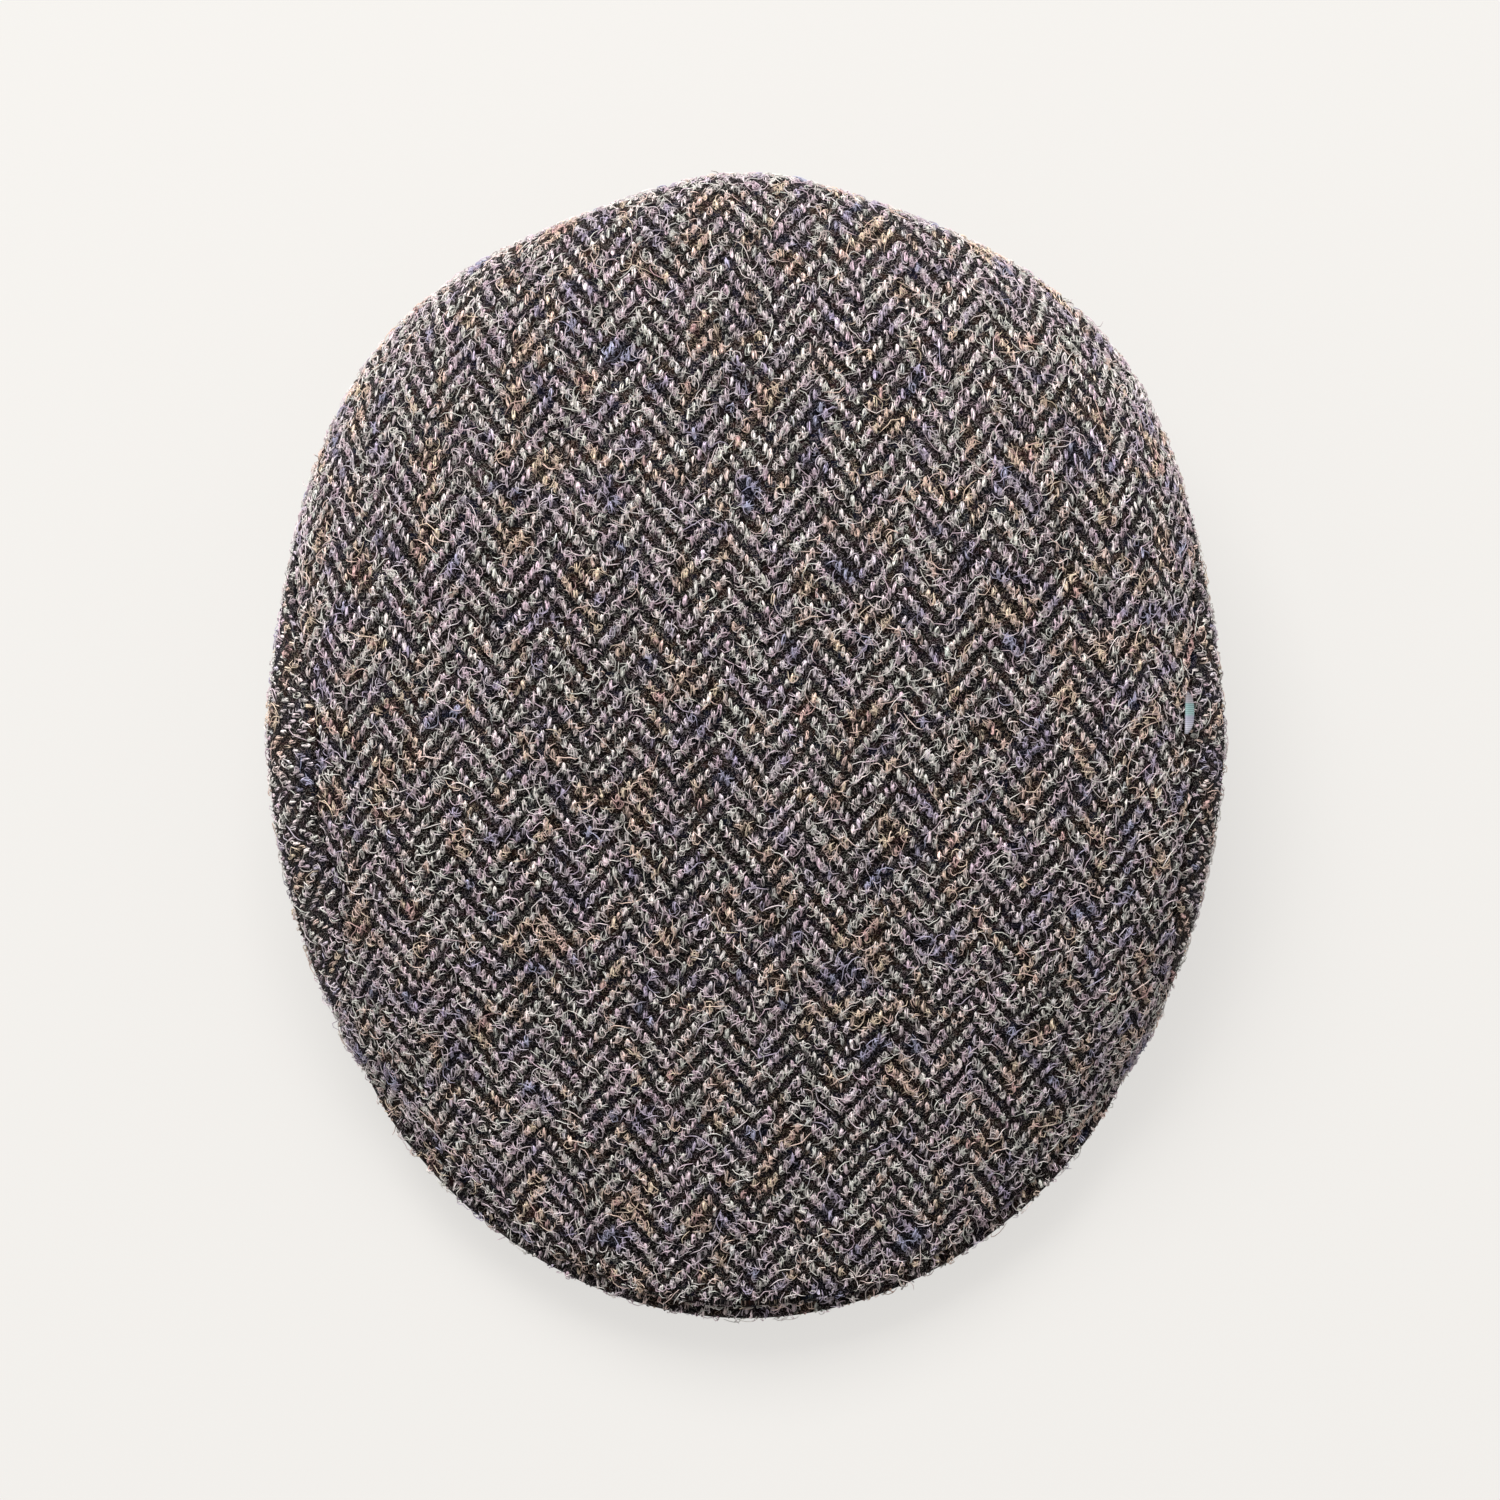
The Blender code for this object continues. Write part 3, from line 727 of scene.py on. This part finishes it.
# Wool fibre, dyed before it is spun: cream and pale grey, with a few dark or tinted ones, and a little
# gloss. The real fibre is 0.03 mm thick. It is drawn at 0.24 mm, because it wouldn't show otherwise.
wool_fibre, tree, shader = new_material("loose_wool_fibre", Roughness=0.7, Specular_IOR_Level=0.3)
middle = node(tree, "UVMap", uv_map="float").outputs[0]
drawn = node(tree, "TexWhiteNoise", {"Vector": middle}, noise_dimensions="2D")
fibre_colour = shades(
    node(tree, "ValToRGB", {0: drawn.outputs["Value"]}),
    [(0.0, "#4a4342"), (0.06, "#b4adac"), (0.3, "#e6dfdd"), (0.5, "#f6efed"), (0.78, "#fdf7f5"),
     (0.86, "#ece3d9"), (0.90, "#dfdce8"), (0.95, "#e6d8d2"), (1.0, "#d6dad9")],
)
tree.links.new(dyed(tree, middle, fibre_colour), shader.inputs["Base Color"])


def loose_fibres(name, sheet, kind, spots, seed, keep=None):
    """Single curled fibres over a sheet, with their middles at the spots in flat coordinates."""
    draw = np.random.default_rng(seed)
    on, place, normal, across = places_on(sheet, flat_tree(sheet), spots)
    if keep:
        on &= keep(place)
    spots, place, normal, across = spots[on], place[on], normal[on], across[on]
    across = across / np.linalg.norm(across, axis=1, keepdims=True)
    forward = np.cross(normal, across)
    number = len(spots)
    step = draw.uniform(*kind.length, number) / (kind.rings - 1)
    turn = kind.turn * draw.choice((-1, 1), number) * draw.uniform(*TURN_SHARES, number)
    heading = draw.uniform(0, 2 * math.pi, number)[:, None] + turn[:, None] * np.arange(kind.rings)
    heading = heading + np.cumsum(draw.normal(0, kind.wobble, (number, kind.rings)), 1)
    moves = np.stack([np.cos(heading), np.sin(heading)], -1) * step[:, None, None]
    flat_path = np.cumsum(moves, 1) - np.cumsum(moves, 1).mean(1, keepdims=True)
    arch = np.sin(np.linspace(ARCH_START, math.pi - ARCH_END, kind.rings))
    height = FIBRE_LIFT + draw.uniform(*kind.rise, number)[:, None] * arch
    path = (
        place[:, None]
        + (across[:, None] * flat_path[..., :1] + forward[:, None] * flat_path[..., 1:]) * MILLIMETRE
        + normal[:, None] * height[..., None] * MILLIMETRE
    )
    way = np.gradient(path, axis=1)
    way /= np.linalg.norm(way, axis=2, keepdims=True)
    up = np.broadcast_to(normal[:, None], way.shape)
    sideways = np.cross(way, up)
    sideways /= np.linalg.norm(sideways, axis=2, keepdims=True)
    up = np.cross(sideways, way)
    taper = np.sqrt(np.sin(np.linspace(FIBRE_TAPER, math.pi - FIBRE_TAPER, kind.rings)))
    radius = taper[:, None] * FIBRE_RADIUS * MILLIMETRE
    rings = np.stack([
        path + (sideways * math.cos(corner) + up * math.sin(corner)) * radius
        for corner in (math.pi * 7 / 6, math.pi * 11 / 6, math.pi / 2)
    ], 2)
    cells, span = bake_cells(number)
    maps = {"float": (spots, (0.0, 0.0)), "OFBake": (cells, (span, span))}
    return tubes(name, rings, maps, wool_fibre)


def near_spots(spots, count, spread, seed):
    """Places near randomly chosen spots."""
    draw = np.random.default_rng(seed)
    return spots[draw.integers(0, len(spots), count)] + draw.normal(0, spread, (count, 2))


middles = near_spots(top_spots, TOP_FIBRES, FIBRE_SPREAD, 21)
top_fibres = [loose_fibres("top_panel_fibres", top_sheet, LONG_FIBRES, middles, 22)]
from_front = top_spots[np.argsort(top_spots[:, 1])]
for number, spots in enumerate(np.array_split(from_front, TOP_PARTS)):
    name = f"top_panel_curls_{number + 1}"
    middles = near_spots(spots, TOP_CURLS // TOP_PARTS, CURL_SPREAD, 23 + number)
    top_fibres.append(loose_fibres(name, top_sheet, SHORT_CURLS, middles, 27 + number))
for piece in top_fibres:
    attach(piece, "root")

# The side panels
# A left and a right band of the same tweed, from the corner of the peak to the centre back, with the
# warp running down. Each is turned in at the top seam and hemmed round the head opening.

# The grid's columns crowd towards its ends, at angles in degrees, and its rows towards the seam and
# the hem, in millimetres from each. Floats and fibres stay so many millimetres clear of the floor.
SIDE_COLUMNS = 88
SIDE_ROWS = 20
CORNER_GAP = 0.05
BACK_GAP = 0.01
END_TURNS = np.array((0.0, 0.12, 0.3, 0.55, 0.9))
END_CLEAR = 1.8
SEAM_ROWS = np.array((0.0, 0.25, 0.55, 0.95, 1.5))
HEM_ROWS = np.array((0.9, 0.55, 0.25, 0.0))
FIRST_ROW = 2.3
LAST_ROW = 1.5
HEM_REACH = 0.9
HEM_DEPTH = 0.45
FLOAT_CLEAR = 0.6
CURL_CLEAR = 1.8
FIBRE_CLEAR = 3.6
SIDE_CURLS = 2700
SIDE_FIBRES = 400


def higher_than(height):
    """Says which places are more than so many millimetres above the floor."""
    return lambda place: place[:, 2] > height * MILLIMETRE


def side_panel(name, side, seed):
    """One side panel with its floats and fibres."""
    corner, back = PEAK_CORNER_ANGLE + CORNER_GAP, 180 - BACK_GAP
    between = np.linspace(corner + END_CLEAR, back - END_CLEAR, SIDE_COLUMNS)
    turns = np.r_[corner + END_TURNS, between, back - END_TURNS[::-1]]
    lines = skin(turns, side)
    along = lengths(lines)
    start = seams_at(lines, along, turns, side) + SEAM_GAP / 2
    foot = along[:, -1]
    first, last = start + FIRST_ROW * MILLIMETRE, foot - LAST_ROW * MILLIMETRE
    places = np.hstack([
        start[:, None] + SEAM_ROWS * MILLIMETRE,
        first[:, None] + (last - first)[:, None] * np.linspace(0, 1, SIDE_ROWS),
        foot[:, None] - HEM_ROWS * MILLIMETRE,
    ])
    points = at_lengths(lines, along, places)
    middle_row = points[:, SIDE_ROWS // 2]
    run = np.r_[0, np.cumsum(np.linalg.norm(np.diff(middle_row, axis=0), axis=1))]
    sideways = np.broadcast_to(run[:, None], places.shape)
    flat = np.dstack([sideways, start[:, None] - places]) / MILLIMETRE
    from_end = np.minimum(run, run[-1] - run)[:, None]
    from_edge = np.minimum(places - start[:, None], from_end) / MILLIMETRE
    from_foot = (foot[:, None] - places) / MILLIMETRE
    if side == RIGHT:
        points, flat = points[::-1], flat[::-1] * (-1, 1)
        from_edge, from_foot = from_edge[::-1], from_foot[::-1]
    points = turned_in(points, grid_normals(points, False), from_edge)
    hem = np.clip(1 - from_foot / HEM_REACH, 0, 1)
    hem_depth = HEM_DEPTH * MILLIMETRE * (1 - np.sqrt(1 - hem**2))
    points = points - grid_normals(points, False) * hem_depth[..., None]
    cloth, sheet = closed_cloth(f"{name}_cloth", points, grid_normals(points, False), flat, tweed_weft)
    warp, spots = warp_floats(f"{name}_warp", sheet, seed, higher_than(FLOAT_CLEAR))
    curls = near_spots(spots, SIDE_CURLS, CURL_SPREAD, seed + 1)
    middles = near_spots(spots, SIDE_FIBRES, FIBRE_SPREAD, seed + 3)
    above_curls, above_fibres = higher_than(CURL_CLEAR), higher_than(FIBRE_CLEAR)
    fuzz = [
        loose_fibres(f"{name}_curls", sheet, SHORT_CURLS, curls, seed + 2, above_curls),
        loose_fibres(f"{name}_fibres", sheet, LONG_FIBRES, middles, seed + 4, above_fibres),
    ]
    for piece in (cloth, warp, *fuzz):
        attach(piece, "root")
    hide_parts(name)


side_panel("side_panel_left", LEFT, 31)
side_panel("side_panel_right", RIGHT, 41)

# The peak
# A curved board with the same tweed glued round it. Its folded edge shows as a narrow band past the
# top panel in front.

# Its sizes are in metres, and its lap into the cap's corners is in degrees.
PEAK_THICKNESS = 0.004
PEAK_CORNER_TUCK = 0.002
PEAK_CORNER_LAP = 0.1
PEAK_FOLD = 0.0019
PEAK_FOLD_POWER = 0.8
PEAK_HALF_COLUMNS = 30
PEAK_ROWS = 12
PEAK_TURNS = 8

# Its two ends are rounded off over some degrees, in steps, down to a share of the board's thickness,
# and rise by some millimetres, so they lap into the corners of the cap.
PEAK_END_ROUND = 1.6
PEAK_END_STEPS = np.array((0.35, 0.6, 0.8, 0.92, 1.0))
PEAK_END_EDGE = 0.12
PEAK_END_LIFT = 1.3

# Floats and fibres are only where they show: past this share of the way to the outline, or this
# far to the side in metres.
PEAK_IN_SIGHT = 0.93
PEAK_END_IN_SIGHT = 0.082
PEAK_CURLS = 900
PEAK_FIBRES = 150
PEAK_FIBRE_SPREAD = 1.5

# The board's two faces come from the frame, where they are looked for from PROBE metres up.
PROBE = 0.2
peak_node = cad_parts["peak"]
peak_tree = BVHTree.FromPolygons(
    [vertex.co for vertex in peak_node.data.vertices],
    [face.vertices for face in peak_node.data.polygons],
)


def board(place):
    """The board's top over a place in plan, and its underside straight through it from there."""
    top, normal = peak_tree.ray_cast(Vector((*place, PROBE)), Vector((0, 0, -1)))[:2]
    sole = peak_tree.ray_cast(top - normal * PEAK_THICKNESS / 4, -normal)[0]
    return np.array(top), np.array(sole)


straight = PEAK_CORNER_ANGLE + PEAK_CORNER_LAP - PEAK_END_ROUND
half_turns = np.r_[
    np.linspace(0, straight, PEAK_HALF_COLUMNS), straight + PEAK_END_ROUND * PEAK_END_STEPS
]
columns, flats, run = [], [], 0.0
for turn in np.r_[-half_turns[:0:-1], half_turns]:
    side = LEFT if turn > 0 else RIGHT
    angle = np.array(min(abs(turn), straight))
    roll = math.sqrt(max(1 - ((abs(turn) - angle) / PEAK_END_ROUND) ** 2, 0))
    thickness = max(roll, PEAK_END_EDGE)
    lift = np.array((0.0, 0.0, PEAK_END_LIFT * MILLIMETRE * (1 - roll)))
    corner = ease(angle, PEAK_CORNER_ANGLE - PEAK_CORNER_FADE, PEAK_CORNER_ANGLE)
    outer = outline(angle, side, PEAK_CORNER_TUCK * corner)
    root = rim(angle, side)
    depth = np.linalg.norm(root - outer)
    inward = (root - outer) / depth
    distances = np.linspace(depth - PEAK_FOLD, PEAK_FOLD, PEAK_ROWS)
    through = [board(outer + inward * far) for far in distances]
    ups = [(top - sole) / 2 * thickness for top, sole in through]
    centres = [top - up + lift for (top, _), up in zip(through, ups)]
    tops = [centre + up for centre, up in zip(centres, ups)]
    soles = [centre - up for centre, up in zip(centres, ups)][::-1]
    outwards = centres[-1] - centres[-2]
    reach = outwards / np.linalg.norm(outwards) * PEAK_FOLD * thickness
    bends = math.pi * np.arange(1, PEAK_TURNS) / PEAK_TURNS
    fold = [
        centres[-1] + ups[-1] * math.cos(bend) + reach * math.sin(bend) ** PEAK_FOLD_POWER
        for bend in bends
    ]
    column = np.array(tops + fold + soles)
    column[:, :2] += outline(np.array(abs(turn)), side) - outline(angle, side)
    if columns:
        run += float(np.linalg.norm(column[PEAK_ROWS] - columns[-1][PEAK_ROWS]))
    columns.append(column)
    down = np.r_[0, np.cumsum(np.linalg.norm(np.diff(column, axis=0), axis=1))]
    flats.append(np.stack([np.full(len(down), run), down[PEAK_ROWS] - down], -1))
points, flat = np.array(columns), np.array(flats) / MILLIMETRE
flat[..., 0] -= flat[..., 0].mean()
count, rows = points.shape[:2]
last = (count - 1) * rows
faces = grid_faces(count, rows).tolist()
faces += [[i + rows - 1, i, i + rows, i + 2 * rows - 1] for i in range(0, last, rows)]
faces += [list(range(rows - 1, -1, -1)), list(range(last, last + rows))]
corners = np.concatenate(faces)
peak_normals = grid_normals(points, False).reshape(-1, 3)
points, flat = points.reshape(-1, 3), flat.reshape(-1, 2)
peak_cloth = mesh_piece("peak_cloth", points, faces, {"cloth": flat[corners]}, tweed_weft)
peak_sheet = Sheet(points, peak_normals, flat, halves(grid_faces(count, rows)))


def in_sight(place):
    """Which places are on the peak's outer edge and the band under it, or at its two ends."""
    out = np.hypot(place[:, 0] / (CROWN_WIDTH / 2), (place[:, 1] - WIDEST_Y) / FRONT_REACH)
    return (out > PEAK_IN_SIGHT) | (np.abs(place[:, 0]) > PEAK_END_IN_SIGHT)


peak_warp, peak_spots = warp_floats("peak_warp", peak_sheet, 51, in_sight)
curls = near_spots(peak_spots, PEAK_CURLS, CURL_SPREAD, 52)
middles = near_spots(peak_spots, PEAK_FIBRES, PEAK_FIBRE_SPREAD, 54)
peak_fuzz = [
    loose_fibres("peak_curls", peak_sheet, SHORT_CURLS, curls, 53, in_sight),
    loose_fibres("peak_fibres", peak_sheet, LONG_FIBRES, middles, 55, in_sight),
]
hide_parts("peak")
for piece in (peak_cloth, peak_warp, *peak_fuzz):
    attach(piece, "root")

# The seam tab
# A short end of ribbed cotton tape, folded over and caught in the wearer's left side seam. Only the
# narrow edge of the fold stands out below the top panel, grey at its ends and blue-green between.

# In millimetres and degrees. At its ends it drops less, by a share, and the powers round its edges.
TAB_ANGLE = 89.1
TAB_WIDTH = 10.0
TAB_DROP = 2.6
TAB_FLARE = 0.75
TAB_FLARE_POWER = 3
TAB_THICKNESS = 0.9
TAB_CLEAR = 0.5
TAB_RIB = 0.5
TAB_RIB_DEPTH = 0.05
TAB_DROP_POWER = 0.7
TAB_THICKNESS_POWER = 0.6
TAB_COLUMNS = 81
TAB_RING = 16

# Ribbed cotton tape, woven with a blue-green band: matt, with painted shade as dark lines in the
# grooves between the ribs. The real ribs are 0.25 mm apart and are drawn at 0.5 mm, because finer
# ones wouldn't show.
cotton_tape, tree, shader = new_material("ribbed_cotton_tape", Roughness=0.85, Specular_IOR_Level=0.2)
tape_map = node(tree, "UVMap", uv_map="cloth").outputs[0]
across = node(tree, "SeparateXYZ", {0: tape_map}).outputs["X"]
ends = {0: across, 1: -TAB_WIDTH / 2, 2: TAB_WIDTH / 2, 3: 0.0, 4: 1.0}
band = node(tree, "MapRange", ends).outputs[0]
tape_colour = shades(
    node(tree, "ValToRGB", {0: band}),
    [(0.0, "#8b868f"), (0.24, "#a5a0a6"), (0.29, "#86a2a3"), (0.52, "#93b0af"), (0.60, "#a3a1b4"),
     (0.85, "#b9b7c2"), (1.0, "#8d8a94")],
)
# The colour is darker in the grooves between the ribs, where the tape is thinner: painted shade.
per_rib = {0: across, 1: 2 * math.pi / TAB_RIB}
rib_turn = node(tree, "Math", per_rib, operation="MULTIPLY").outputs[0]
rib = node(tree, "Math", {0: rib_turn}, operation="COSINE").outputs[0]
rib_painted_shade = node(tree, "MapRange", {0: rib, 1: -1.0, 2: 1.0, 3: 0.62, 4: 1.05}).outputs[0]
ribbed_and_shaded = node(tree, "VectorMath", {0: tape_colour, "Scale": rib_painted_shade}, operation="SCALE").outputs[0]
tree.links.new(ribbed_and_shaded, shader.inputs["Base Color"])

line = skin([TAB_ANGLE], LEFT)
along = lengths(line)
seam = seams_at(line, along, [TAB_ANGLE], LEFT)[0]
top, foot = at_lengths(line, along, [np.array([seam, seam + TAB_DROP * MILLIMETRE])])[0]
down = (foot - top) / np.linalg.norm(foot - top)
ahead = np.array((0.0, -1.0, 0.0)) + down * down[1]
ahead /= np.linalg.norm(ahead)
outward = np.cross(ahead, down)
turn = np.arange(TAB_RING) * 2 * math.pi / TAB_RING
round_drop = np.sign(np.sin(turn)) * np.abs(np.sin(turn)) ** TAB_DROP_POWER
round_out = np.sign(np.cos(turn)) * np.abs(np.cos(turn)) ** TAB_THICKNESS_POWER
columns, flats = [], []
for way in np.linspace(-1, 1, TAB_COLUMNS):
    from_middle = way * TAB_WIDTH / 2
    drop = TAB_DROP * (1 - TAB_FLARE * abs(way) ** TAB_FLARE_POWER)
    thick = TAB_THICKNESS / 2 + TAB_RIB_DEPTH * math.cos(2 * math.pi * from_middle / TAB_RIB)
    low = (round_drop + 1) * drop / 2
    out = round_out * thick + TAB_CLEAR + TAB_THICKNESS / 2
    shift = ahead * from_middle + down * low[:, None] + outward * out[:, None]
    columns.append(top + shift * MILLIMETRE)
    flats.append(np.stack([np.full(TAB_RING, from_middle), low], -1))
last = (TAB_COLUMNS - 1) * TAB_RING
faces = [
    [i + k, i + TAB_RING + k, i + TAB_RING + (k + 1) % TAB_RING, i + (k + 1) % TAB_RING]
    for i in range(0, last, TAB_RING) for k in range(TAB_RING)
]
faces += [list(range(TAB_RING)), list(range(last + TAB_RING - 1, last - 1, -1))]
points, flat = np.array(columns).reshape(-1, 3), np.array(flats).reshape(-1, 2)
maps = {"cloth": flat[np.concatenate(faces)]}
tab = mesh_piece("seam_tab_tape", points, faces, maps, cotton_tape)
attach(tab, "root")
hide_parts("seam_tab")

# The stage
# A plain pale floor in a white room that is lighter towards the back, one soft box above and behind
# the cap, and a camera straight above.
FLOOR_SIZE = 12.0
IMAGE_WIDTH = 1500
PIXELS_IN_A_MILLIMETRE = 4.2
CAMERA_HEIGHT = 6.0
VIEW_WIDTH = IMAGE_WIDTH / PIXELS_IN_A_MILLIMETRE * MILLIMETRE
VIEW_MIDDLE = (0.00095, 0.0001)
VIEW_HEIGHT = 0.03
SENSOR = 36.0
ROOM_LIGHT = 0.62
ROOM_SLANT = (-0.15, 0.9, 0.0)
SOFT_BOX_PLACE = (-0.4, 1.6, 1.9)
SOFT_BOX_AIM = Vector((0, 0, 0.04))
SOFT_BOX_SIZE = 1.4
SOFT_BOX_POWER = 78.0

# Opal acrylic of a light table: matt and white, lit from below, so the shadows on it are weak.
opal_acrylic, tree, shader = new_material(
    "opal_acrylic_table", Base_Color=linear("#706e6b"), Roughness=0.9, Specular_IOR_Level=0.1,
    Emission_Color=linear("#f7f5f2"), Emission_Strength=0.72,
)
bpy.ops.mesh.primitive_plane_add(size=FLOOR_SIZE)
floor = bpy.context.object
floor.name = "floor"
floor.data.materials.append(opal_acrylic)

# White walls and ceiling, lighter towards the back and a little towards the wearer's right.
world = bpy.data.worlds.new("soft_room")
scene.world = world
world.use_nodes = True
tree = world.node_tree
way = node(tree, "TexCoord").outputs["Generated"]
towards = node(tree, "VectorMath", {0: way, 1: ROOM_SLANT}, operation="DOT_PRODUCT").outputs["Value"]
light = {0: towards, 1: -1.0, 2: 1.0, 3: 0.0, 4: 2 * ROOM_LIGHT}
strength = node(tree, "MapRange", light).outputs[0]
background = tree.nodes["Background"]
background.inputs["Color"].default_value = linear("#fbfaf8")
tree.links.new(strength, background.inputs["Strength"])

# The soft box is square and isn't seen by the camera.
lamp = bpy.data.lights.new("overhead", "AREA")
lamp.size = SOFT_BOX_SIZE
lamp.energy = SOFT_BOX_POWER
soft_box = bpy.data.objects.new("overhead", lamp)
soft_box.location = SOFT_BOX_PLACE
soft_box.rotation_euler = (SOFT_BOX_AIM - soft_box.location).to_track_quat("-Z", "Y").to_euler()
soft_box.visible_camera = False
scene.collection.objects.link(soft_box)

# The camera looks straight down. VIEW_HEIGHT above the floor, its view is as wide as the photograph's.
camera = bpy.data.cameras.new("camera")
camera.sensor_width = SENSOR
camera.lens = SENSOR * (CAMERA_HEIGHT - VIEW_HEIGHT) / VIEW_WIDTH
camera.clip_end = 20.0
camera_holder = bpy.data.objects.new("camera", camera)
camera_holder.location = (*VIEW_MIDDLE, CAMERA_HEIGHT)
scene.collection.objects.link(camera_holder)
scene.camera = camera_holder

scene.view_settings.view_transform = "Standard"

bpy.context.view_layer.update()
